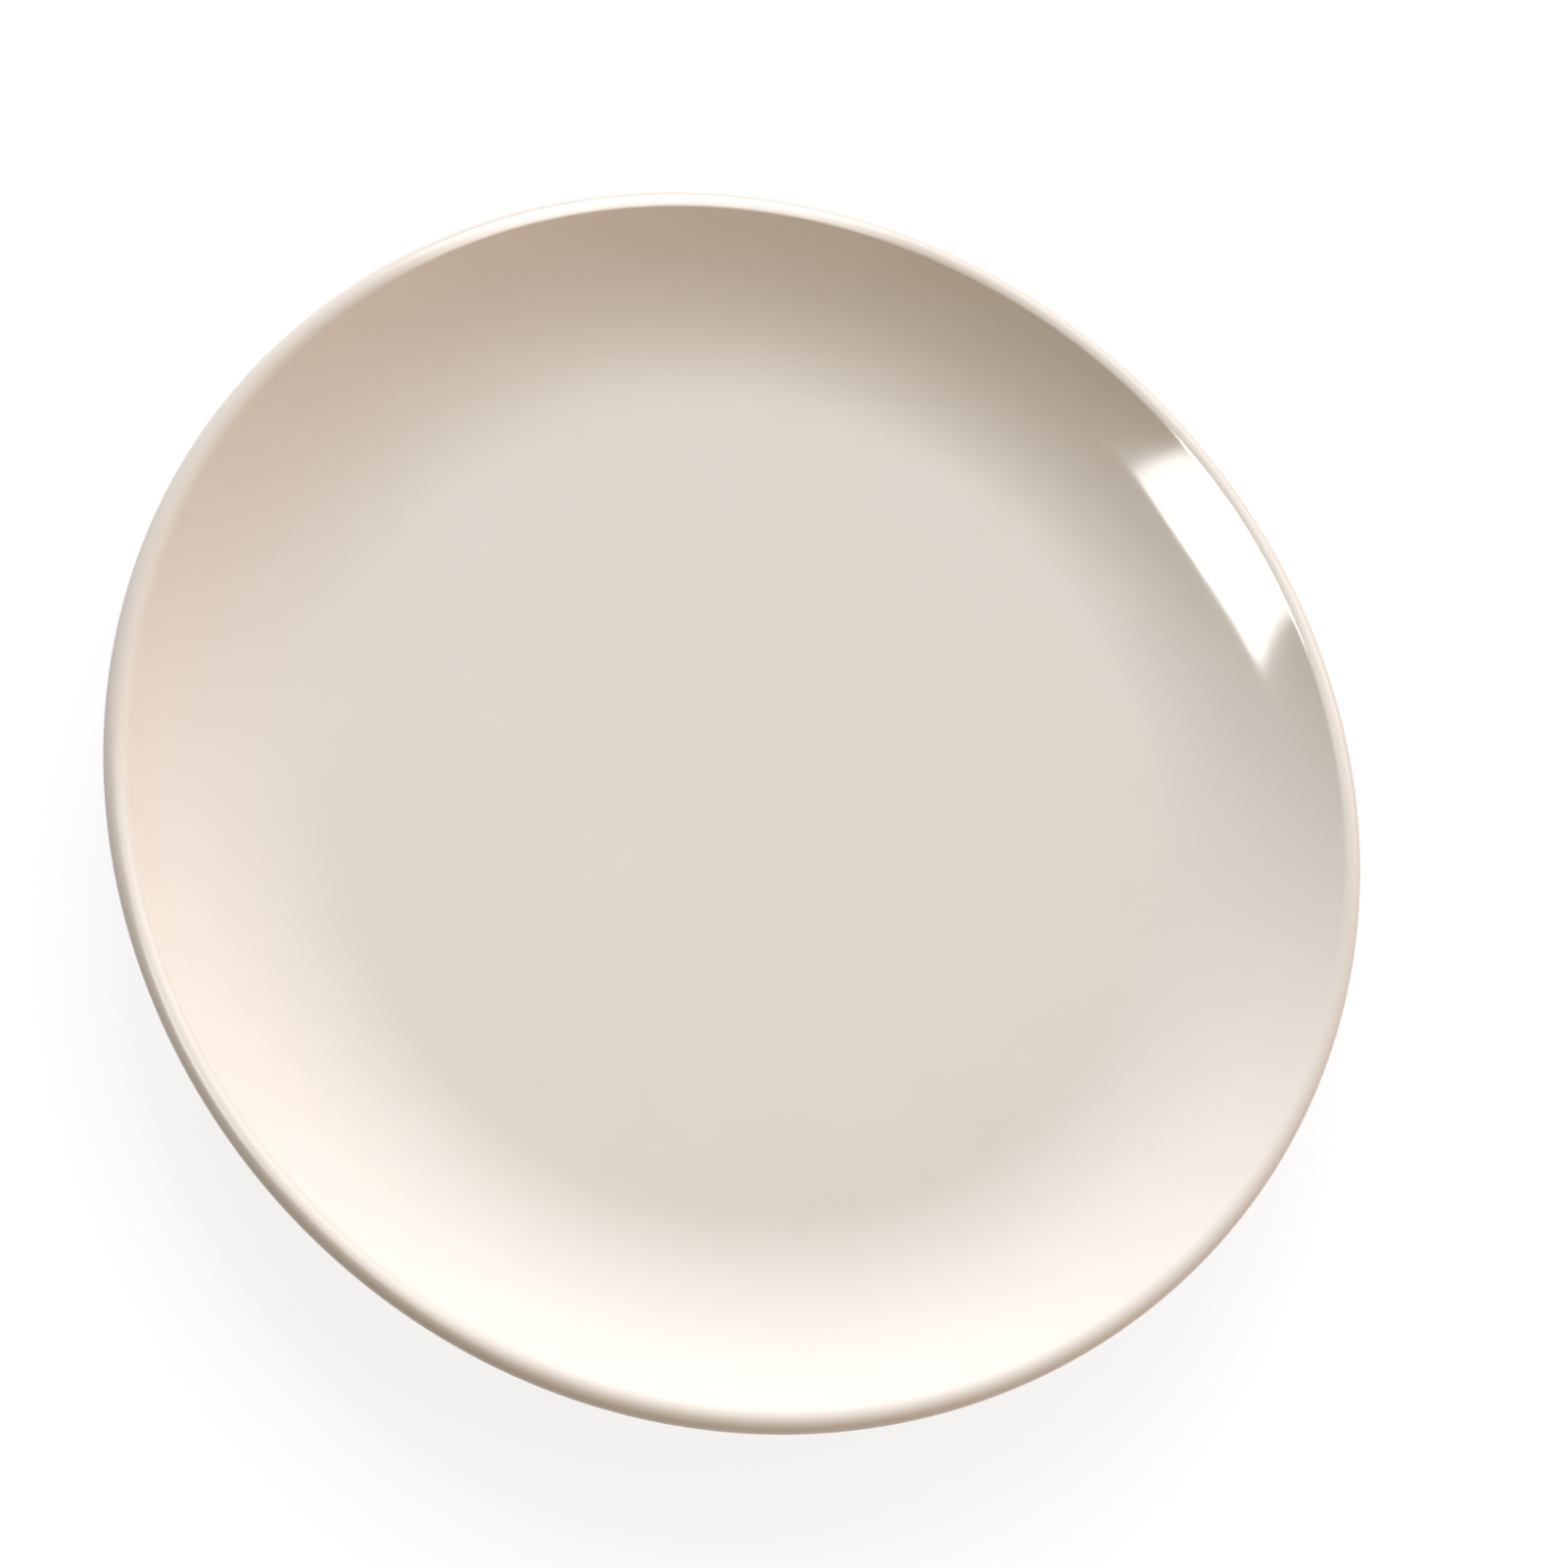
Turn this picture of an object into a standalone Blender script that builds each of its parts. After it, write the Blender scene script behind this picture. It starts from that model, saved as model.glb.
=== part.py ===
"""Rimless coupe plate for fruit, in glazed stoneware.

The clay body and its foot ring are one turned piece. One coat of glaze covers the face, the lip and
the back as far as the foot ring, and a second patch of glaze lines the recess inside that ring.
Metres, +Z up. The plate stands on the XY plane and its axis is Z.
"""

import math

import bpy

# Glazed outline of the dish
PLATE_RADIUS = 0.1025
WELL_RADIUS = 0.0722
WELL_FLAT_RADIUS = 0.039
WELL_DEPTH = 0.0132
WELL_CROWN = 0.00095
FLOOR_THICKNESS = 0.005
LIP_INNER_RADIUS = 0.0022
LIP_OUTER_RADIUS = 0.002

# Foot ring, and the flat band of the back outside it
FOOT_RADIUS = 0.058
FOOT_WIDTH = 0.0055
FOOT_HEIGHT = 0.0028
FOOT_FILLET = 0.0012
FOOT_EDGE_RADIUS = 0.001
BACK_FLAT_WIDTH = 0.0065

# Glaze: its coat, the clearance under it, and how far above the table it ends
GLAZE_THICKNESS = 0.00035
BOND_GAP = 0.0003
GLAZE_LINE_HEIGHT = 0.0012

# Facets round the axis, and along each arc of the profile
TURN_STEPS = 64
FALL_STEPS = 2
WALL_STEPS = 7
LIP_INNER_STEPS = 2
LIP_OUTER_STEPS = 4
LIP_UNDER_STEPS = 2
BACK_STEPS = 6
FILLET_STEPS = 2
MERGE_DISTANCE = 0.000001

# Finishes: linear colour and roughness
GLAZE_COLOUR = (0.730, 0.672, 0.597, 1.0)
GLAZE_ROUGHNESS = 0.12
CLAY_COLOUR = (0.610, 0.490, 0.360, 1.0)
CLAY_ROUGHNESS = 0.85

# Heights and radii that follow from the sizes above
LOW_RING_Z = FOOT_HEIGHT + FLOOR_THICKNESS
LIP_TOP_Z = LOW_RING_Z + WELL_DEPTH
LIP_TOP_RADIUS = PLATE_RADIUS - LIP_OUTER_RADIUS
CLAY_INSET = GLAZE_THICKNESS + BOND_GAP
FOOT_INNER_RADIUS = FOOT_RADIUS - FOOT_WIDTH
SOLE_WIDTH = FOOT_WIDTH - 2 * CLAY_INSET
# The fillet stops at the glaze line, and the rounded edges leave a third of the sole flat
FILLET = min(FOOT_FILLET, FOOT_HEIGHT - GLAZE_LINE_HEIGHT)
FOOT_EDGE = min(FOOT_EDGE_RADIUS, GLAZE_LINE_HEIGHT, SOLE_WIDTH / 3)
BACK_START_RADIUS = FOOT_RADIUS + FILLET + BACK_FLAT_WIDTH


def arc(centre, radius, start, end, steps):
    """Points of an arc from start to end, both angles turning clockwise from straight up."""
    points = []
    for step in range(steps + 1):
        angle = start + (end - start) * step / steps
        points.append((centre[0] + radius * math.sin(angle), centre[1] + radius * math.cos(angle)))
    return points


def face_profile(inset):
    """Flat middle and falling edge of the well, wall and inner half of the lip, sunk by inset."""
    lip_centre = (LIP_TOP_RADIUS, LIP_TOP_Z - LIP_INNER_RADIUS)
    run = lip_centre[0] - WELL_RADIUS
    rise = lip_centre[1] - LOW_RING_Z
    # The wall arc touches the low ring of the well and the inner arc of the lip
    wall_radius = (run**2 + rise**2 - LIP_INNER_RADIUS**2) / (2 * (LIP_INNER_RADIUS + rise))
    wall_centre = (WELL_RADIUS, LOW_RING_Z + wall_radius)
    wall_slope = math.atan2(run, wall_radius - rise)
    # Outside its flat middle the well falls by the crown to the low ring, with no crease at either end
    fall = WELL_RADIUS - WELL_FLAT_RADIUS
    fall_slope = 2 * math.atan(WELL_CROWN / fall)
    fall_radius = fall / math.sin(fall_slope) - wall_radius
    flat_height = LOW_RING_Z + WELL_CROWN
    fall_centre = (WELL_FLAT_RADIUS, flat_height - fall_radius)
    points = [(0.0, flat_height - inset)]
    points += arc(fall_centre, fall_radius - inset, 0.0, fall_slope, FALL_STEPS)
    wall_start = math.pi + fall_slope
    wall_end = math.pi - wall_slope
    points += arc(wall_centre, wall_radius + inset, wall_start, wall_end, WALL_STEPS)[1:]
    points += arc(lip_centre, LIP_INNER_RADIUS - inset, -wall_slope, 0.0, LIP_INNER_STEPS)[1:]
    return points


def back_profile(inset):
    """Outer half of the lip, curved back, flat band and fillet, from the lip top down, sunk by inset."""
    lip_centre = (LIP_TOP_RADIUS, LIP_TOP_Z - LIP_OUTER_RADIUS)
    run = lip_centre[0] - BACK_START_RADIUS
    rise = lip_centre[1] - FOOT_HEIGHT
    # The back arc touches the flat band and the outer arc of the lip
    back_radius = (run**2 + rise**2 - LIP_OUTER_RADIUS**2) / (2 * (rise - LIP_OUTER_RADIUS))
    back_centre = (BACK_START_RADIUS, FOOT_HEIGHT + back_radius)
    lip_end = math.atan2(run, rise - back_radius)
    points = arc(lip_centre, LIP_OUTER_RADIUS - inset, 0.0, math.pi / 2, LIP_OUTER_STEPS)
    points += arc(lip_centre, LIP_OUTER_RADIUS - inset, math.pi / 2, lip_end, LIP_UNDER_STEPS)[1:]
    points += arc(back_centre, back_radius - inset, lip_end, math.pi, BACK_STEPS)[1:]
    fillet_centre = (FOOT_RADIUS + FILLET, FOOT_HEIGHT - FILLET)
    points += arc(fillet_centre, FILLET + inset, 0.0, -math.pi / 2, FILLET_STEPS)
    return points


def recess_profile(inset):
    """Recess ceiling and the fillet down the inside of the foot ring, from the axis out, sunk by inset."""
    fillet_centre = (FOOT_INNER_RADIUS - FILLET, FOOT_HEIGHT - FILLET)
    points = [(0.0, FOOT_HEIGHT + inset)]
    points += arc(fillet_centre, FILLET + inset, 0.0, math.pi / 2, FILLET_STEPS)
    return points


def foot_profile():
    """Bare sole of the clay foot ring with its two rounded edges, from the outside in."""
    outer_centre = (FOOT_RADIUS - CLAY_INSET - FOOT_EDGE, FOOT_EDGE)
    inner_centre = (FOOT_INNER_RADIUS + CLAY_INSET + FOOT_EDGE, FOOT_EDGE)
    points = arc(outer_centre, FOOT_EDGE, math.pi / 2, math.pi, FILLET_STEPS)
    points += arc(inner_centre, FOOT_EDGE, math.pi, 3 * math.pi / 2, FILLET_STEPS)
    return points


def clay_body_profile():
    """Half section of the clay, from the axis over the lip and under the foot ring back to the axis."""
    points = face_profile(CLAY_INSET) + back_profile(CLAY_INSET)[1:]
    return points + foot_profile() + recess_profile(CLAY_INSET)[::-1]


def glaze_coat_profile():
    """Half section of the coat over face, lip and back, ending in a square edge on the foot ring."""
    outside = face_profile(0.0) + back_profile(0.0)[1:]
    outside.append((FOOT_RADIUS, GLAZE_LINE_HEIGHT))
    inside = face_profile(GLAZE_THICKNESS) + back_profile(GLAZE_THICKNESS)[1:]
    inside.append((FOOT_RADIUS - GLAZE_THICKNESS, GLAZE_LINE_HEIGHT))
    return outside + inside[::-1]


def foot_recess_glaze_profile():
    """Half section of the glaze patch inside the foot ring, from its bonded side to its open side."""
    bonded = recess_profile(GLAZE_THICKNESS)
    bonded.append((FOOT_INNER_RADIUS + GLAZE_THICKNESS, GLAZE_LINE_HEIGHT))
    open_side = recess_profile(0.0)
    open_side.append((FOOT_INNER_RADIUS, GLAZE_LINE_HEIGHT))
    return bonded + open_side[::-1]


def finish(name, colour, roughness):
    """Plain Principled material."""
    material = bpy.data.materials.new(name)
    material.use_nodes = True
    shader = material.node_tree.nodes["Principled BSDF"]
    shader.inputs["Base Color"].default_value = colour
    shader.inputs["Roughness"].default_value = roughness
    shader.inputs["Metallic"].default_value = 0.0
    return material


def turned_piece(name, profile, material):
    """Turn a half section once round the Z axis into a closed, smooth piece."""
    mesh = bpy.data.meshes.new(name)
    edges = [(index, index + 1) for index in range(len(profile) - 1)]
    mesh.from_pydata([(radius, 0.0, height) for radius, height in profile], edges, [])
    mesh.materials.append(material)
    piece = bpy.data.objects.new(name, mesh)
    bpy.context.scene.collection.objects.link(piece)
    turn = piece.modifiers.new("turn", "SCREW")
    turn.axis = "Z"
    turn.angle = 2 * math.pi
    turn.steps = TURN_STEPS
    turn.render_steps = TURN_STEPS
    turn.use_merge_vertices = True
    turn.merge_threshold = MERGE_DISTANCE
    turn.use_smooth_shade = True
    return piece


for leftover in list(bpy.data.objects):
    bpy.data.objects.remove(leftover)

ivory_glaze = finish("ivory_glaze", GLAZE_COLOUR, GLAZE_ROUGHNESS)
bare_clay = finish("bare_clay", CLAY_COLOUR, CLAY_ROUGHNESS)
turned_piece("clay_body", clay_body_profile(), bare_clay)
turned_piece("glaze_coat", glaze_coat_profile(), ivory_glaze)
turned_piece("foot_recess_glaze", foot_recess_glaze_profile(), ivory_glaze)
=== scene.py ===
# %% [markdown]
# # A glazed fruit plate
# The object is a small coupe plate: a round dish with no flat rim, pressed from stoneware clay and
# dipped in an ivory glaze. Its solids are already packed as a frame, in metres, standing on z = 0 with
# the axis of the dish along Z. This lesson sets up the camera, gives the solids their finished surfaces,
# and then lays out the table, the light and what the glaze mirrors.

import math

import bpy
from mathutils import Matrix, Vector


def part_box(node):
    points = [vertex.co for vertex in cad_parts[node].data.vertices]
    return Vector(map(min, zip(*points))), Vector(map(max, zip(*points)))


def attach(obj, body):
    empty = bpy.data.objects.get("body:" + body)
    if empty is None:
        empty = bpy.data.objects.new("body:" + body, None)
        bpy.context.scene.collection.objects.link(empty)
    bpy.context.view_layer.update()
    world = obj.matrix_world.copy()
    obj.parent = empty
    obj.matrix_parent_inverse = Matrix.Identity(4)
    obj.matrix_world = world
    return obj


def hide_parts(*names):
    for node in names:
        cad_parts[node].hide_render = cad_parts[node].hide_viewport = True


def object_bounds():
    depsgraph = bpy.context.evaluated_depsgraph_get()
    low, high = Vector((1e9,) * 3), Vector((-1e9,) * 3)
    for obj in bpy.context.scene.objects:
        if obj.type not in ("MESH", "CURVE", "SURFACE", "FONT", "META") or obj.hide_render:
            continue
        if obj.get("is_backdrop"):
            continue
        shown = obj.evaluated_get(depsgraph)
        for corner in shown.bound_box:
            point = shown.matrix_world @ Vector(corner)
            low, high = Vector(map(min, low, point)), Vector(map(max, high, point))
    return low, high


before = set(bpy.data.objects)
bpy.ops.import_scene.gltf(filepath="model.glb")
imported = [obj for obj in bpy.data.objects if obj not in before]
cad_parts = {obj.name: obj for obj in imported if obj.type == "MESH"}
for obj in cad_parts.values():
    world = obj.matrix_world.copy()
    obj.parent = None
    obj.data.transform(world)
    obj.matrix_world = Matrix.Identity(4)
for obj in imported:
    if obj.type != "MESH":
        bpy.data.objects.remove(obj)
cad_lowest, cad_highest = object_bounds()
print("nodes in the frame:", ", ".join(sorted(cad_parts)))

# %% [markdown]
# ## Sizes
# A turned dish is known by its half section, so a handful of lengths say everything about it. The outer
# ones are read from the frame, where the solids already have them. The arcs between them have no corner
# that a box could show, so their lengths are named here, with the same values as in the solids.

# %% Lengths read from the frame
MM = 0.001
GLAZE_THICKNESS = 0.35 * MM
coat_lowest, coat_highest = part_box("glaze_coat")
_, recess_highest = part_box("foot_recess_glaze")

PLATE_RADIUS = coat_highest.x
LIP_TOP = coat_highest.z
GLAZE_LINE = coat_lowest.z
# The box of the recess glaze reaches to its bonded side, so its thickness comes off
FOOT_INNER_RADIUS = recess_highest.x - GLAZE_THICKNESS
FOOT_HEIGHT = recess_highest.z - GLAZE_THICKNESS
print("plate (mm): radius", round(PLATE_RADIUS / MM, 2), "height", round(LIP_TOP / MM, 2))
print("foot (mm): inner radius", round(FOOT_INNER_RADIUS / MM, 2), "height", round(FOOT_HEIGHT / MM, 2))

# %% Lengths of the arcs
FLOOR_THICKNESS = 5.0 * MM
WELL_RADIUS = 72.2 * MM
WELL_FLAT_RADIUS = 39.0 * MM
WELL_CROWN = 0.95 * MM
LIP_INNER_RADIUS = 2.2 * MM
LIP_OUTER_RADIUS = 2.0 * MM
FOOT_WIDTH = 5.5 * MM
FOOT_FILLET = 1.2 * MM
FOOT_EDGE_RADIUS = 1.0 * MM
BACK_FLAT_WIDTH = 6.5 * MM

LOW_RING = FOOT_HEIGHT + FLOOR_THICKNESS
LIP_TOP_RADIUS = PLATE_RADIUS - LIP_OUTER_RADIUS
FOOT_RADIUS = FOOT_INNER_RADIUS + FOOT_WIDTH
BACK_START_RADIUS = FOOT_RADIUS + FOOT_FILLET + BACK_FLAT_WIDTH
print("depth of the dish (mm):", round((LIP_TOP - LOW_RING) / MM, 2))

# %% [markdown]
# ## Camera
# The view looks down into the dish from one side. A circle seen off its axis becomes an ellipse, and the
# ratio of the ellipse's axes gives the tilt. Its long axis runs corner to corner in the picture, so the
# camera also rolls. A Track To constraint could aim the camera, but it keeps the horizon level, so the
# three directions of the camera are worked out here and put in its matrix.

# %% Camera
VIEW_TILT = math.radians(24.91)
VIEW_ROLL = math.radians(42.42)
VIEW_DISTANCE = 351.9 * MM
VIEW_AIM = Vector((3.05 * MM, 1.11 * MM, LIP_TOP - 10.3 * MM))

back = Vector((0.0, -math.sin(VIEW_TILT), math.cos(VIEW_TILT)))
level = Vector((1.0, 0.0, 0.0))
steep = back.cross(level)
right = level * math.cos(VIEW_ROLL) + steep * math.sin(VIEW_ROLL)
up = steep * math.cos(VIEW_ROLL) - level * math.sin(VIEW_ROLL)

camera_lens = bpy.data.cameras.new("view_camera")
# Blender takes these two in millimetres, unlike every other length
camera_lens.lens = 50.0
camera_lens.sensor_width = 36.0
camera = bpy.data.objects.new("view_camera", camera_lens)
bpy.context.scene.collection.objects.link(camera)
camera.matrix_world = Matrix.LocRotScale(
    VIEW_AIM + VIEW_DISTANCE * back,
    Matrix((right, up, back)).transposed(),
    None,
)
bpy.context.scene.camera = camera
print("camera (mm):", [round(value / MM, 1) for value in camera.matrix_world.translation])

# %% [markdown]
# ## The half section
# A press mould for a plate is cut to a template, and each stretch of that template is an arc that runs
# into the next with no crease. A hand-drawn curve could follow it by eye. Arcs are used here because
# their radii can be measured, and because the clay under the glaze is then the same set of arcs, sunk by
# the thickness of the glaze.

# %% One arc
def arc(centre, radius, start, end, steps):
    """Points of an arc from start to end, both angles turning clockwise from straight up."""
    points = []
    for step in range(steps + 1):
        angle = start + (end - start) * step / steps
        points.append((centre[0] + radius * math.sin(angle), centre[1] + radius * math.cos(angle)))
    return points


quarter = arc((0.0, 0.0), 1.0, 0.0, math.pi / 2, 2)
print("a quarter turn in two steps:", [(round(x, 2), round(y, 2)) for x, y in quarter])

# %% Face of the dish
# Detail is a multiple of the fewest steps on each arc, and the glazed outside has the most
OUTSIDE_DETAIL = 5


def face_section(inset, detail):
    """Flat middle, falling edge of the well, wall and inner half of the lip, from the axis out."""
    lip_centre = (LIP_TOP_RADIUS, LIP_TOP - LIP_INNER_RADIUS)
    run = lip_centre[0] - WELL_RADIUS
    rise = lip_centre[1] - LOW_RING
    # The wall arc touches the low ring of the well and the inner arc of the lip
    wall_radius = (run**2 + rise**2 - LIP_INNER_RADIUS**2) / (2 * (LIP_INNER_RADIUS + rise))
    wall_centre = (WELL_RADIUS, LOW_RING + wall_radius)
    wall_slope = math.atan2(run, wall_radius - rise)
    # From its flat middle the well falls by the crown, and runs into the wall arc with no crease
    fall = WELL_RADIUS - WELL_FLAT_RADIUS
    fall_slope = 2 * math.atan(WELL_CROWN / fall)
    fall_radius = fall / math.sin(fall_slope) - wall_radius
    flat_height = LOW_RING + WELL_CROWN
    fall_centre = (WELL_FLAT_RADIUS, flat_height - fall_radius)

    flat_steps = 2 * detail
    points = [(WELL_FLAT_RADIUS * step / flat_steps, flat_height - inset) for step in range(flat_steps)]
    points += arc(fall_centre, fall_radius - inset, 0.0, fall_slope, 3 * detail)
    wall_start = math.pi + fall_slope
    wall_end = math.pi - wall_slope
    points += arc(wall_centre, wall_radius + inset, wall_start, wall_end, 10 * detail)[1:]
    points += arc(lip_centre, LIP_INNER_RADIUS - inset, -wall_slope, 0.0, 3 * detail)[1:]
    return points


face = face_section(0.0, OUTSIDE_DETAIL)
print("face of the dish:", len(face), "points, from the axis to radius", round(face[-1][0] / MM, 1), "mm")


# %% Back of the dish
def back_section(inset, detail):
    """Outer half of the lip, curved back, flat band and fillet of the foot, from the lip down."""
    lip_centre = (LIP_TOP_RADIUS, LIP_TOP - LIP_OUTER_RADIUS)
    run = lip_centre[0] - BACK_START_RADIUS
    rise = lip_centre[1] - FOOT_HEIGHT
    # The back arc touches the flat band and the outer arc of the lip
    back_radius = (run**2 + rise**2 - LIP_OUTER_RADIUS**2) / (2 * (rise - LIP_OUTER_RADIUS))
    back_centre = (BACK_START_RADIUS, FOOT_HEIGHT + back_radius)
    lip_end = math.atan2(run, rise - back_radius)
    fillet_centre = (FOOT_RADIUS + FOOT_FILLET, FOOT_HEIGHT - FOOT_FILLET)

    points = arc(lip_centre, LIP_OUTER_RADIUS - inset, 0.0, math.pi / 2, 4 * detail)
    points += arc(lip_centre, LIP_OUTER_RADIUS - inset, math.pi / 2, lip_end, 2 * detail)[1:]
    points += arc(back_centre, back_radius - inset, lip_end, math.pi, 8 * detail)[1:]
    points += arc(fillet_centre, FOOT_FILLET + inset, 0.0, -math.pi / 2, 2 * detail)
    return points


back_face = back_section(0.0, OUTSIDE_DETAIL)
print("back of the dish:", len(back_face), "points, widest", round(max(back_face)[0] / MM, 2), "mm")


# %% Recess inside the foot ring
def recess_section(inset, detail):
    """Ceiling of the recess and the fillet down the inside of the foot ring, from the axis out."""
    fillet_centre = (FOOT_INNER_RADIUS - FOOT_FILLET, FOOT_HEIGHT - FOOT_FILLET)
    flat_steps = 3 * detail
    points = [(fillet_centre[0] * step / flat_steps, FOOT_HEIGHT + inset) for step in range(flat_steps)]
    points += arc(fillet_centre, FOOT_FILLET + inset, 0.0, math.pi / 2, 2 * detail)
    return points


recess = recess_section(0.0, OUTSIDE_DETAIL)
print("recess:", len(recess), "points, from the axis to radius", round(recess[-1][0] / MM, 1), "mm")

# %% [markdown]
# ## Turning the section
# Blender's Screw modifier turns a section round an axis, and gives a perfectly round dish. A fired plate
# is never quite round: the lip softens in the kiln and settles by a fraction of a millimetre, most often
# into three or four shallow lobes. The rings are therefore placed in code, and each point is first passed
# through a function that says how the kiln moved it. Every piece uses the same one, so they stay together.

# %% How the kiln moves a point
# For each set of lobes: how many go round the lip, how far they pull it in, and where they start
LIP_LOBES = ((3, 0.17 * MM, -2.1), (4, 0.10 * MM, -1.9))
LIP_SAG = 0.12 * MM
SAG_LOBES = 2
SAG_START = 0.7
SETTLED_RADIUS = 66.0 * MM


def fired(radius, height, angle):
    """Place of a point after firing: the lip pulls in and sags a little, and the well stays true."""
    share = max(0.0, (radius - SETTLED_RADIUS) / (PLATE_RADIUS - SETTLED_RADIUS)) ** 2
    pull = sum(size * (1 - math.cos(count * angle + start)) for count, size, start in LIP_LOBES)
    sag = LIP_SAG * (1 + math.sin(SAG_LOBES * angle + SAG_START)) / 2
    return radius - share * pull, height - share * sag


lip_radii = [fired(PLATE_RADIUS, LIP_TOP, math.radians(turn))[0] / MM for turn in range(360)]
print("lip radius after firing (mm):", round(min(lip_radii), 2), "to", round(max(lip_radii), 2))

# %% Turn a section into a closed mesh
TURNS = 288
AXIS_TOLERANCE = 0.0001 * MM


def turned_piece(name, section, settle):
    """Turn a section that starts and ends on the axis, moving every point by settle."""
    vertices = []
    rings = []
    for radius, height in section:
        count = TURNS if radius > AXIS_TOLERANCE else 1
        rings.append([len(vertices) + step for step in range(count)])
        for step in range(count):
            angle = 2 * math.pi * step / TURNS
            moved_radius, moved_height = settle(radius, height, angle)
            vertices.append((moved_radius * math.cos(angle), moved_radius * math.sin(angle), moved_height))
    faces = []
    for ring, following in zip(rings, rings[1:]):
        for step in range(TURNS):
            after = (step + 1) % TURNS
            corners = [ring[step % len(ring)], following[step % len(following)]]
            corners += [following[after % len(following)], ring[after % len(ring)]]
            # Next to the axis two corners are one point, and the face is a triangle
            faces.append(tuple(dict.fromkeys(corners)))
    mesh = bpy.data.meshes.new(name)
    mesh.from_pydata(vertices, [], faces)
    mesh.shade_smooth()
    mesh.validate()
    piece = bpy.data.objects.new(name, mesh)
    bpy.context.scene.collection.objects.link(piece)
    print(name, "has", len(mesh.vertices), "points and", len(mesh.polygons), "faces")
    return piece


print("facets at the lip (mm):", round(2 * math.pi * PLATE_RADIUS / TURNS / MM, 2), "wide")

# %% [markdown]
# ## The coat of glaze
# The plate is dipped in liquid glaze, which covers the face, the lip and the back. The foot ring is wiped
# clean so that it can't stick to the kiln shelf, and melted glaze draws back from that wiped edge into a
# rounded, slightly uneven line. A Solidify modifier could give the coat its thickness, but its edge would
# be square, so the outer and inner sides are two sections joined by a half-round end.

# %% Wiped edge of the glaze
# For each set of waves: how many go round the foot, how high they are, and where they start
LINE_WAVES = ((3, 0.09 * MM, 0.4), (8, 0.05 * MM, 2.1), (13, 0.03 * MM, 4.0))
LINE_FADE = FOOT_HEIGHT - GLAZE_LINE
EDGE_STEPS = 8


def glazed(radius, height, angle):
    """Place of a point of the glaze: moved by the firing, and up or down with the wiped edge."""
    moved_radius, moved_height = fired(radius, height, angle)
    share = max(0.0, 1 - (height - GLAZE_LINE) / LINE_FADE)
    wave = sum(size * math.sin(count * angle + start) for count, size, start in LINE_WAVES)
    return moved_radius, moved_height + share * wave


def rounded_end(radius):
    """Half-round end of a coat whose middle is at this radius, from its outer side to its inner one."""
    half = GLAZE_THICKNESS / 2
    return arc((radius, GLAZE_LINE + half), half, math.pi / 2, 3 * math.pi / 2, EDGE_STEPS)


edge_heights = [glazed(FOOT_RADIUS, GLAZE_LINE, math.radians(turn))[1] / MM for turn in range(360)]
print("wiped edge above the table (mm):", round(min(edge_heights), 2), "to", round(max(edge_heights), 2))

# %% Coat over face, lip and back
BONDED_DETAIL = 2
coat = face_section(0.0, OUTSIDE_DETAIL) + back_section(0.0, OUTSIDE_DETAIL)[1:]
coat += rounded_end(FOOT_RADIUS - GLAZE_THICKNESS / 2)
bonded_side = face_section(GLAZE_THICKNESS, BONDED_DETAIL)
bonded_side += back_section(GLAZE_THICKNESS, BONDED_DETAIL)[1:]
coat += bonded_side[::-1]
glaze_over_dish = turned_piece("glaze_over_dish", coat, glazed)

# %% Glaze inside the foot ring
patch = recess_section(GLAZE_THICKNESS, BONDED_DETAIL)
patch += rounded_end(FOOT_INNER_RADIUS + GLAZE_THICKNESS / 2)
patch += recess_section(0.0, OUTSIDE_DETAIL)[::-1]
glaze_in_recess = turned_piece("glaze_in_recess", patch, glazed)

# %% [markdown]
# ## The clay body
# Under the glaze is the pressed and fired clay. Only the sole of its foot ring is bare: a narrow flat
# ring with two rounded edges, ground smooth after firing so that it doesn't scratch a table. The rest of
# the section follows the glaze, a hair's breadth under it.

# %% Clay body with its foot ring
CLAY_DETAIL = 3
CLAY_CLEARANCE = 0.02 * MM
CLAY_INSET = GLAZE_THICKNESS + CLAY_CLEARANCE
outer_edge = (FOOT_RADIUS - CLAY_INSET - FOOT_EDGE_RADIUS, FOOT_EDGE_RADIUS)
inner_edge = (FOOT_INNER_RADIUS + CLAY_INSET + FOOT_EDGE_RADIUS, FOOT_EDGE_RADIUS)

body = face_section(CLAY_INSET, CLAY_DETAIL) + back_section(CLAY_INSET, CLAY_DETAIL)[1:]
body += arc(outer_edge, FOOT_EDGE_RADIUS, math.pi / 2, math.pi, EDGE_STEPS)
body += arc(inner_edge, FOOT_EDGE_RADIUS, math.pi, 3 * math.pi / 2, EDGE_STEPS)
body += recess_section(CLAY_INSET, CLAY_DETAIL)[::-1]
stoneware_body = turned_piece("stoneware_body", body, fired)
print("flat sole (mm):", round((outer_edge[0] - inner_edge[0]) / MM, 2), "wide")

# %% [markdown]
# ## Tools for the finishes
# Every finish is a small tree of nodes. Writing each node out takes many lines, so one function adds a
# node, sets its options and joins its inputs. Colours are written as they are picked from a screen, in
# sRGB hex, and a second function turns them to the linear light that Blender works in.

# %% Add a node, and read a colour
def add_node(tree, kind, options=(), inputs=()):
    """Add a node. An input is given a plain value, or an output of another node to be joined to it."""
    node = tree.nodes.new(kind)
    for option, value in dict(options).items():
        setattr(node, option, value)
    for socket, value in dict(inputs).items():
        if isinstance(value, bpy.types.NodeSocket):
            tree.links.new(value, node.inputs[socket])
        else:
            node.inputs[socket].default_value = value
    return node


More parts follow.
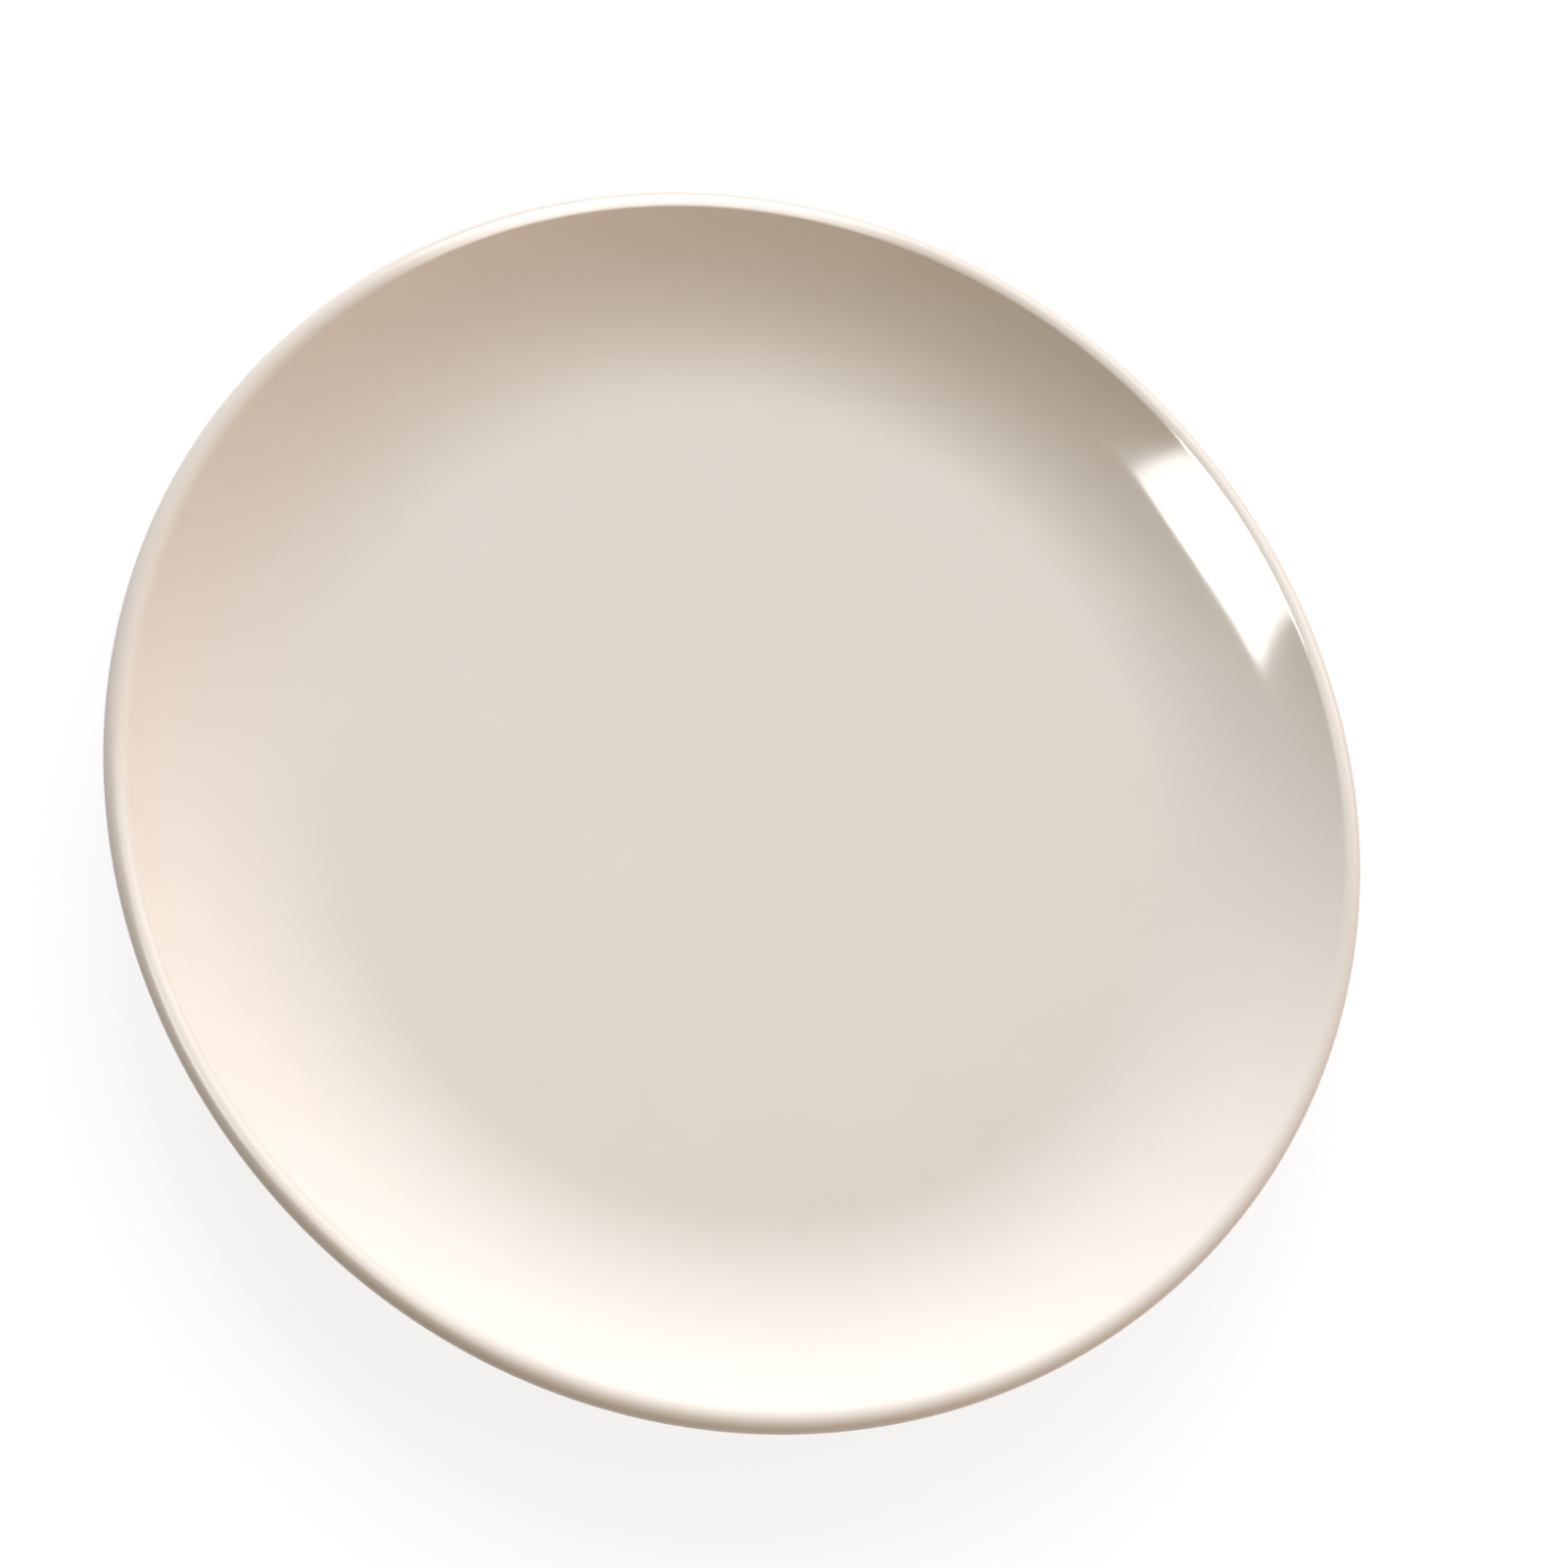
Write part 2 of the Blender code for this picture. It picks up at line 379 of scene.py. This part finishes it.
def linear(hex_colour):
    """Linear RGBA of an sRGB hex colour."""
    values = [int(hex_colour[place:place + 2], 16) / 255 for place in (1, 3, 5)]
    return tuple(v / 12.92 if v <= 0.04045 else ((v + 0.055) / 1.055) ** 2.4 for v in values) + (1.0,)


IVORY = "#DED6CB"
print("ivory in linear light:", [round(value, 3) for value in linear(IVORY)])

# %% [markdown]
# ## Ivory glaze
# This is an opaque stoneware glaze: a layer of glass, clouded by fine white crystals and stained ivory by
# a trace of iron. It was dipped on and melted, so it flowed out smooth. It gives the eye one even, warm
# off-white with a soft gloss. Close up there is a little more: faint clouds where the dip was thicker, a
# warmer tone on the lip where molten glaze ran thin over the edge, and a barely rippled skin.

# %% Ivory glaze: clouds in the colour
GLAZE_CLOUD = 14.0 * MM
# The two ivories differ by about one part in a hundred: the clouds are felt more than seen
CLOUDED_IVORY = "#DBD3C7"
# A Mix node has sockets for each kind of data, and these are the ones for colours
SHARE, FIRST_COLOUR, SECOND_COLOUR = 0, 6, 7
MIXED_COLOUR = 2

ivory_glaze = bpy.data.materials.new("ivory_stoneware_glaze")
ivory_glaze.use_nodes = True
tree = ivory_glaze.node_tree
glaze_shader = tree.nodes["Principled BSDF"]
place = add_node(tree, "ShaderNodeTexCoord").outputs["Object"]
clouds = add_node(tree, "ShaderNodeTexNoise", inputs={
    "Vector": place, "Scale": 1 / GLAZE_CLOUD, "Detail": 3.0,
})
ivory = add_node(tree, "ShaderNodeMix", {"data_type": "RGBA"}, {
    SHARE: clouds.outputs["Fac"], FIRST_COLOUR: linear(IVORY), SECOND_COLOUR: linear(CLOUDED_IVORY),
}).outputs[MIXED_COLOUR]
print("glaze clouds:", GLAZE_CLOUD / MM, "mm across")

# %% Ivory glaze: thin on the lip
THIN_IVORY = "#D6C9B8"
THIN_SHARE = 0.4
THIN_START = LIP_TOP_RADIUS - 2.5 * MM
THIN_END = LIP_TOP_RADIUS + 1.0 * MM
LEVEL_ONLY = (1.0, 1.0, 0.0)

# Distance from the axis, which finds the lip without any painted map
level_place = add_node(tree, "ShaderNodeVectorMath", {"operation": "MULTIPLY"}, {0: place, 1: LEVEL_ONLY})
from_axis = add_node(tree, "ShaderNodeVectorMath", {"operation": "LENGTH"}, {
    0: level_place.outputs["Vector"],
})
on_lip = add_node(tree, "ShaderNodeMapRange", {"interpolation_type": "SMOOTHSTEP"}, {
    "Value": from_axis.outputs["Value"], "From Min": THIN_START, "From Max": THIN_END,
    "To Min": 0.0, "To Max": THIN_SHARE,
})
glaze_colour = add_node(tree, "ShaderNodeMix", {"data_type": "RGBA"}, {
    SHARE: on_lip.outputs["Result"], FIRST_COLOUR: ivory, SECOND_COLOUR: linear(THIN_IVORY),
}).outputs[MIXED_COLOUR]
tree.links.new(glaze_colour, glaze_shader.inputs["Base Color"])
print("thin glaze from radius", round(THIN_START / MM, 1), "to", round(THIN_END / MM, 1), "mm")

# %% Ivory glaze: gloss and skin
GLOSS_PATCH = 2 * GLAZE_CLOUD
SHINIEST = 0.083
DULLEST = 0.097
GLAZE_RIPPLE = 3.0 * MM
RIPPLE_HEIGHT = 0.002 * MM

gloss_patches = add_node(tree, "ShaderNodeTexNoise", inputs={"Vector": place, "Scale": 1 / GLOSS_PATCH})
gloss = add_node(tree, "ShaderNodeMapRange", inputs={
    "Value": gloss_patches.outputs["Fac"], "To Min": SHINIEST, "To Max": DULLEST,
})
tree.links.new(gloss.outputs["Result"], glaze_shader.inputs["Roughness"])

ripples = add_node(tree, "ShaderNodeTexNoise", inputs={
    "Vector": place, "Scale": 1 / GLAZE_RIPPLE, "Detail": 1.0,
})
skin = add_node(tree, "ShaderNodeBump", inputs={
    "Height": ripples.outputs["Fac"], "Strength": 1.0, "Distance": RIPPLE_HEIGHT,
})
tree.links.new(skin.outputs["Normal"], glaze_shader.inputs["Normal"])
glaze_shader.inputs["IOR"].default_value = 1.5
glaze_shader.inputs["Metallic"].default_value = 0.0
print("glaze ripples:", GLAZE_RIPPLE / MM, "mm across")

# %% [markdown]
# ## Bare stoneware clay
# Fired stoneware without glaze is dense and matt, buff where there is iron in the clay, and speckled with
# grog, the crushed fired clay that keeps a piece from cracking. The sole was ground on a wheel, which
# leaves fine rings. To the eye it is dry and sandy, with no shine at all.

# %% Bare clay: colour and grain
BUFF = "#D2C0A9"
GROG_SPECK = "#C2AD91"
GROG_GRAIN = 0.6 * MM
SPECK_START = 0.35
SPECK_FULL = 0.7

bare_clay = bpy.data.materials.new("bare_stoneware_clay")
bare_clay.use_nodes = True
tree = bare_clay.node_tree
clay_shader = tree.nodes["Principled BSDF"]
place = add_node(tree, "ShaderNodeTexCoord").outputs["Object"]
grog = add_node(tree, "ShaderNodeTexNoise", inputs={
    "Vector": place, "Scale": 1 / GROG_GRAIN, "Detail": 2.0,
})
specks = add_node(tree, "ShaderNodeMapRange", inputs={
    "Value": grog.outputs["Fac"], "From Min": SPECK_START, "From Max": SPECK_FULL,
})
clay_colour = add_node(tree, "ShaderNodeMix", {"data_type": "RGBA"}, {
    SHARE: specks.outputs["Result"], FIRST_COLOUR: linear(BUFF), SECOND_COLOUR: linear(GROG_SPECK),
}).outputs[MIXED_COLOUR]
tree.links.new(clay_colour, clay_shader.inputs["Base Color"])
print("grog grains:", GROG_GRAIN / MM, "mm across")

# %% Bare clay: dry, ground surface
GRINDING_RINGS = 0.5 * MM
RING_SHARE = 0.4
SKIN_HEIGHT = 0.05 * MM

# A ring of the Wave texture repeats every 2 pi / 20 of its own unit, so this scale gives the spacing
grinding = add_node(tree, "ShaderNodeTexWave", {"wave_type": "RINGS", "rings_direction": "Z"}, {
    "Vector": place, "Scale": 2 * math.pi / 20 / GRINDING_RINGS, "Distortion": 0.6,
})
grain_and_rings = add_node(tree, "ShaderNodeMath", {"operation": "MULTIPLY_ADD"}, {
    0: grinding.outputs["Fac"], 1: RING_SHARE, 2: grog.outputs["Fac"],
})
dry_skin = add_node(tree, "ShaderNodeBump", inputs={
    "Height": grain_and_rings.outputs["Value"], "Strength": 0.6, "Distance": SKIN_HEIGHT,
})
tree.links.new(dry_skin.outputs["Normal"], clay_shader.inputs["Normal"])
clay_shader.inputs["Roughness"].default_value = 0.88
clay_shader.inputs["IOR"].default_value = 1.5
clay_shader.inputs["Metallic"].default_value = 0.0
print("grinding rings:", GRINDING_RINGS / MM, "mm apart")

# %% [markdown]
# ## Putting the pieces on the frame
# Each finished piece stands for one solid of the frame and moves with it. The plate has no moving part,
# so all three ride on its single body.

# %% Join the pieces to the frame
dressing = (
    (glaze_over_dish, "glaze_coat", ivory_glaze, "ivory_glaze"),
    (glaze_in_recess, "foot_recess_glaze", ivory_glaze, "ivory_glaze"),
    (stoneware_body, "clay_body", bare_clay, "bare_clay"),
)
for piece, node, finish, slot in dressing:
    piece.data.materials.append(finish)
    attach(piece, "root")
    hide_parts(node)
    print(piece.name, "stands for", node)

# %% [markdown]
# ## Table
# The plate stands on a plain white sheet, wide enough for any view. A white surface bright enough to
# vanish in the picture would also throw too much light up at the plate. The Light Path node splits the
# two: rays that light the plate meet a pale grey sheet, and rays that are seen, straight or in the gloss
# of the glaze, meet a nearly white one that still takes the plate's shadow.

# %% Table top
TABLE_RADIUS = 6.0
TABLE_SIDES = 96
table_edge = []
for side in range(TABLE_SIDES):
    angle = 2 * math.pi * side / TABLE_SIDES
    table_edge.append((TABLE_RADIUS * math.cos(angle), TABLE_RADIUS * math.sin(angle), 0.0))
table_mesh = bpy.data.meshes.new("white_table")
table_mesh.from_pydata(table_edge, [], [tuple(range(TABLE_SIDES))])
table = bpy.data.objects.new("white_table", table_mesh)
bpy.context.scene.collection.objects.link(table)
table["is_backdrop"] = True
print("table:", 2 * TABLE_RADIUS, "m across")

# %% White paper on the table
WHITE = "#FFFFFF"
PAPER_GREY = "#BCBCBC"
SHADED_GREY = "#7C7C7C"
PAPER_GLOW = 0.83


def seen_rays(tree):
    """Output that is 1 for rays seen straight, in gloss or through glass, and 0 for all others."""
    ray = add_node(tree, "ShaderNodeLightPath")
    straight_or_gloss = add_node(tree, "ShaderNodeMath", {"operation": "MAXIMUM"}, {
        0: ray.outputs["Is Camera Ray"], 1: ray.outputs["Is Glossy Ray"],
    })
    seen = add_node(tree, "ShaderNodeMath", {"operation": "MAXIMUM"}, {
        0: straight_or_gloss.outputs["Value"], 1: ray.outputs["Is Transmission Ray"],
    })
    return seen.outputs["Value"]


white_paper = bpy.data.materials.new("matt_white_paper")
white_paper.use_nodes = True
tree = white_paper.node_tree
tree.nodes.clear()
lighting_sheet = add_node(tree, "ShaderNodeBsdfDiffuse", inputs={"Color": linear(PAPER_GREY)})
shaded_sheet = add_node(tree, "ShaderNodeBsdfDiffuse", inputs={"Color": linear(SHADED_GREY)})
glow = add_node(tree, "ShaderNodeEmission", inputs={"Color": linear(WHITE), "Strength": PAPER_GLOW})
seen_sheet = add_node(tree, "ShaderNodeAddShader", inputs={
    0: shaded_sheet.outputs["BSDF"], 1: glow.outputs["Emission"],
})
sheet = add_node(tree, "ShaderNodeMixShader", inputs={
    0: seen_rays(tree), 1: lighting_sheet.outputs["BSDF"], 2: seen_sheet.outputs["Shader"],
})
add_node(tree, "ShaderNodeOutputMaterial", inputs={"Surface": sheet.outputs["Shader"]})
table_mesh.materials.append(white_paper)
print("paper: sends back", round(linear(PAPER_GREY)[0], 2), "of the light that meets it")

# %% [markdown]
# ## Light
# Soft daylight comes from behind the dish and from its left: from a high window, from a broad stretch of
# cool sky, and from a low window that grazes the table. It fills the well, reaches the near wall and
# leaves the far wall in its own shade. A pale wall sends a little rosy light back from the right, and the
# room adds an even, warm light from all round. The room is the world, and the Light Path split makes it
# white where it is seen. An Area lamp could be a window too, but it grows weaker across the dish, and
# daylight doesn't, so each window is a Sun lamp with a wide angle.

# %% Room light
ROOM_COLOUR = "#FFECC9"
ROOM_STRENGTH = 0.33
world = bpy.data.worlds.new("pale_room")
bpy.context.scene.world = world
world.use_nodes = True
tree = world.node_tree
tree.nodes.clear()
room_light = add_node(tree, "ShaderNodeBackground", inputs={
    "Color": linear(ROOM_COLOUR), "Strength": ROOM_STRENGTH,
})
white_room = add_node(tree, "ShaderNodeBackground", inputs={"Color": linear(WHITE), "Strength": 1.0})
room = add_node(tree, "ShaderNodeMixShader", inputs={
    0: seen_rays(tree), 1: room_light.outputs["Background"], 2: white_room.outputs["Background"],
})
add_node(tree, "ShaderNodeOutputWorld", inputs={"Surface": room.outputs["Shader"]})
print("room light:", ROOM_STRENGTH)


# %% Windows and a pale wall
def direction(azimuth, elevation):
    """Direction from the plate, by degrees round from X and degrees up from the table."""
    around = math.radians(azimuth)
    above = math.radians(elevation)
    level_share = math.cos(above)
    return Vector((level_share * math.cos(around), level_share * math.sin(around), math.sin(above)))


def window_light(name, azimuth, elevation, width, strength, colour):
    """Soft light so far away that it is the same all over the plate, and width degrees across."""
    lamp = bpy.data.lights.new(name, "SUN")
    lamp.energy = strength
    lamp.angle = math.radians(width)
    lamp.color = linear(colour)[:3]
    light = bpy.data.objects.new(name, lamp)
    bpy.context.scene.collection.objects.link(light)
    light.rotation_euler = direction(azimuth, elevation).to_track_quat("Z", "Y").to_euler()
    # Its edge would draw a hard line in the gloss, where the white room already shows
    light.visible_glossy = False
    print(name, "at azimuth", azimuth, "and elevation", elevation)


window_light("high_window", azimuth=97, elevation=44, width=60, strength=1.10, colour=WHITE)
window_light("sky_window", azimuth=141, elevation=34, width=40, strength=2.73, colour="#DBE7FF")
window_light("low_window", azimuth=119, elevation=5, width=30, strength=1.63, colour="#FFF2F0")
window_light("pale_wall", azimuth=13, elevation=8, width=40, strength=1.00, colour="#FFDADB")

# %% [markdown]
# ## Reflections
# On the far wall the glaze mirrors one bright pane as a slip of white that ends at the lip, and stretches
# of the lip carry a pale line of their own. Painted patches would stay put when the view moves, so real
# panels stand where the mirror directions point. They feed the gloss only, because their light on the
# matt ground of the glaze is already counted in the windows. An unlit panel would show as a dark shape in
# the gloss, so a Transparent shader is added to the glow, and the white room shows through.

# %% A panel that only the gloss sees
def gloss_panel(name, vertices, faces):
    """Stage a mesh that shows in reflections only, and return its empty node tree."""
    mesh = bpy.data.meshes.new(name)
    mesh.from_pydata(vertices, [], faces)
    panel = bpy.data.objects.new(name, mesh)
    bpy.context.scene.collection.objects.link(panel)
    panel.visible_camera = False
    panel.visible_diffuse = False
    panel.visible_transmission = False
    panel.visible_shadow = False
    panel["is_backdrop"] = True
    panel_glow = bpy.data.materials.new(name + "_glow")
    panel_glow.use_nodes = True
    panel_glow.node_tree.nodes.clear()
    mesh.materials.append(panel_glow)
    print(name, "(mm):", [round(length / MM) for length in panel.dimensions])
    return panel_glow.node_tree


def shine(tree, strength):
    """Let a panel shine with this strength, and be clear for what lies behind it."""
    light = add_node(tree, "ShaderNodeEmission", inputs={"Strength": strength})
    clear = add_node(tree, "ShaderNodeBsdfTransparent")
    both = add_node(tree, "ShaderNodeAddShader", inputs={
        0: clear.outputs["BSDF"], 1: light.outputs["Emission"],
    })
    add_node(tree, "ShaderNodeOutputMaterial", inputs={"Surface": both.outputs["Shader"]})


# %% [markdown]
# ### Bright pane
# The outline of the pane was found by following the view to the edges of the slip, and from there off the
# wall to a plane 250 mm away. Studio lamps often carry a honeycomb grid, which lets light out straight
# ahead and shuts it off to the sides. This pane has one too: the Layer Weight node knows how far it is
# turned from the ray that meets it, so the near lip, well off to its side, takes no light from it.

# %% Place and grid of a panel
def plane_point(middle, heading, across, height):
    """Point of a plane that is square to a heading, by millimetres across and up from its middle."""
    sideways = Vector((0.0, 0.0, 1.0)).cross(heading).normalized()
    return middle + MM * (across * sideways + height * heading.cross(sideways))


def grid(tree, strength, angles):
    """Strength of a panel behind a grid: whole up to the first angle, none past the second, in degrees."""
    # At a blend of one half, Facing is 1 less the cosine of the angle between ray and heading
    turned_away = add_node(tree, "ShaderNodeLayerWeight", inputs={"Blend": 0.5})
    still_open, shut = [1 - math.cos(math.radians(angle)) for angle in angles]
    let_through = add_node(tree, "ShaderNodeMapRange", {"interpolation_type": "SMOOTHSTEP"}, {
        "Value": turned_away.outputs["Facing"], "From Min": still_open, "From Max": shut,
        "To Min": strength, "To Max": 0.0,
    })
    return let_through.outputs["Result"]


# %% Bright pane
# Corners in millimetres across and up from the middle of the pane
PANE_OUTLINE = (
    (36, 14), (23, 60), (15, 66), (2, 71), (-10, 68), (-27, 52),
    (-38, 42), (-40, 30), (-35, 0), (-30, -40), (-29, -75), (54, -75),
)
PANE_STRENGTH = 19.0
PANE_GRID = (18, 22)
PANE_DISTANCE = 250 * MM
MIRROR_SPOT = Vector((31 * MM, 88 * MM, 15.5 * MM))
pane_heading = direction(azimuth=-120, elevation=43)
pane_middle = MIRROR_SPOT + PANE_DISTANCE * pane_heading

pane_corners = [plane_point(pane_middle, pane_heading, *corner) for corner in PANE_OUTLINE]
tree = gloss_panel("bright_pane", pane_corners, [tuple(range(len(pane_corners)))])
shine(tree, grid(tree, PANE_STRENGTH, PANE_GRID))

# %% [markdown]
# ### Sill under the pane
# The near lip is curved so tightly that its left side mirrors what lies under the pane, and shows it as a
# soft pale line. A sill catches some of the light of its window and loses it with the distance, so this
# glow is round, and fades out downward and to the sides. The sill faces that stretch of lip, and a
# narrower grid than the pane's keeps its glow out of most of the well.

# %% Sill under the pane
# Corners from the middle of the sill, and that middle from the pane's, in millimetres across and up
SILL_OUTLINE = ((-72, 34), (-72, -72), (72, -72), (72, 34))
SILL_FROM_PANE = (32, -112)
SILL_EVEN = 15 * MM
SILL_REACH = 70 * MM
SILL_STRENGTH = 5.5
SILL_GRID = (12, 18)
near_left_lip = LIP_TOP_RADIUS * direction(azimuth=250, elevation=0) + Vector((0.0, 0.0, LIP_TOP))
sill_middle = plane_point(pane_middle, pane_heading, *SILL_FROM_PANE)
sill_heading = (sill_middle - near_left_lip).normalized()

sill_corners = [plane_point(sill_middle, sill_heading, *corner) for corner in SILL_OUTLINE]
tree = gloss_panel("pane_sill", sill_corners, [tuple(range(len(sill_corners)))])
on_sill = add_node(tree, "ShaderNodeTexCoord").outputs["Object"]
from_middle = add_node(tree, "ShaderNodeVectorMath", {"operation": "DISTANCE"}, {
    0: on_sill, 1: sill_middle,
})
round_glow = add_node(tree, "ShaderNodeMapRange", {"interpolation_type": "SMOOTHSTEP"}, {
    "Value": from_middle.outputs["Value"], "From Min": SILL_EVEN, "From Max": SILL_REACH,
    "To Min": 1.0, "To Max": 0.0,
})
sill_light = add_node(tree, "ShaderNodeMath", {"operation": "MULTIPLY"}, {
    0: round_glow.outputs["Result"], 1: grid(tree, SILL_STRENGTH, SILL_GRID),
})
shine(tree, sill_light.outputs["Value"])

# %% [markdown]
# ### Cards over the lip
# A white card held low over the edge of a pale dish gives its lip a bright line. The wall on the other
# side would mirror the card too, so each one has the same kind of grid, and shines down but not across.
# A long card lies over the far lip, and a short one adds to it on the far left, on the side of the sky
# window. A narrower one over the near left softens the turn from wall to lip. They fade to their ends and
# edges, so that no line on the lip has a sudden stop.

# %% How a card fades to its ends and edges
def card_fade(tree, radii, soft_edge, middle, even, reach):
    """Share of a card's light: whole for even degrees each side of its middle, and none at its reach."""
    on_card = add_node(tree, "ShaderNodeTexCoord").outputs["Object"]
    outward = add_node(tree, "ShaderNodeVectorMath", {"operation": "MULTIPLY"}, {
        0: on_card, 1: LEVEL_ONLY,
    }).outputs["Vector"]
    # The dot product of two directions is the cosine of the turn from one to the other
    bearing = add_node(tree, "ShaderNodeVectorMath", {"operation": "NORMALIZE"}, {0: outward})
    turn_from_middle = add_node(tree, "ShaderNodeVectorMath", {"operation": "DOT_PRODUCT"}, {
        0: bearing.outputs["Vector"], 1: direction(middle, 0),
    })
    end_fade = add_node(tree, "ShaderNodeMapRange", {"interpolation_type": "SMOOTHSTEP"}, {
        "Value": turn_from_middle.outputs["Value"],
        "From Min": math.cos(math.radians(reach)), "From Max": math.cos(math.radians(even)),
    })
    card_radius = add_node(tree, "ShaderNodeVectorMath", {"operation": "LENGTH"}, {0: outward})
    off_centre = add_node(tree, "ShaderNodeMath", {"operation": "SUBTRACT"}, {
        0: card_radius.outputs["Value"], 1: sum(radii) / 2,
    })
    to_edge = add_node(tree, "ShaderNodeMath", {"operation": "ABSOLUTE"}, {0: off_centre.outputs["Value"]})
    half_width = (radii[1] - radii[0]) / 2
    edge_fade = add_node(tree, "ShaderNodeMapRange", {"interpolation_type": "SMOOTHSTEP"}, {
        "Value": to_edge.outputs["Value"],
        "From Min": half_width - soft_edge, "From Max": half_width, "To Min": 1.0, "To Max": 0.0,
    })
    faded = add_node(tree, "ShaderNodeMath", {"operation": "MULTIPLY"}, {
        0: end_fade.outputs["Result"], 1: edge_fade.outputs["Result"],
    })
    return faded.outputs["Value"]


# %% A card that shines down on the lip
CARD_STEP = 2
CARD_GRID = (60, 70)


def lip_card(name, above_lip, radii, soft_edge, middle, even, reach, strength):
    """Stage a card that follows the lip for reach degrees each side of its middle."""
    lift = Vector((0.0, 0.0, LIP_TOP + above_lip))
    corners = []
    for turn in range(middle - reach, middle + reach + 1, CARD_STEP):
        corners += [radius * direction(turn, 0) + lift for radius in radii]
    faces = [(first, first + 1, first + 3, first + 2) for first in range(0, len(corners) - 2, 2)]
    tree = gloss_panel(name, corners, faces)
    card_light = add_node(tree, "ShaderNodeMath", {"operation": "MULTIPLY"}, {
        0: card_fade(tree, radii, soft_edge, middle, even, reach), 1: grid(tree, strength, CARD_GRID),
    })
    shine(tree, card_light.outputs["Value"])


# %% Cards over the lip
FAR_RADII = (90 * MM, 114 * MM)
FAR_SOFT_EDGE = 7 * MM
NEAR_RADII = (92 * MM, 106 * MM)
NEAR_SOFT_EDGE = 4 * MM
lip_card(
    "far_card", above_lip=5.0 * MM, radii=FAR_RADII, soft_edge=FAR_SOFT_EDGE,
    middle=104, even=45, reach=79, strength=4.4,
)
lip_card(
    "far_left_card", above_lip=5.5 * MM, radii=FAR_RADII, soft_edge=FAR_SOFT_EDGE,
    middle=142, even=0, reach=29, strength=8.1,
)
lip_card(
    "near_left_card", above_lip=5.0 * MM, radii=NEAR_RADII, soft_edge=NEAR_SOFT_EDGE,
    middle=255, even=10, reach=38, strength=3.8,
)

# %% [markdown]
# The finished pieces are meant to lie within the solids. Both boxes are compared here, and the margins are
# printed.

# %% Compare the boxes and finish
bpy.context.scene.view_settings.view_transform = "Standard"
seen_lowest, seen_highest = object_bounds()
inside = [low - cad for low, cad in zip(seen_lowest, cad_lowest)]
inside += [cad - high for cad, high in zip(cad_highest, seen_highest)]
print("inside the solids by (mm):", round(min(inside) / MM, 3), "to", round(max(inside) / MM, 3))
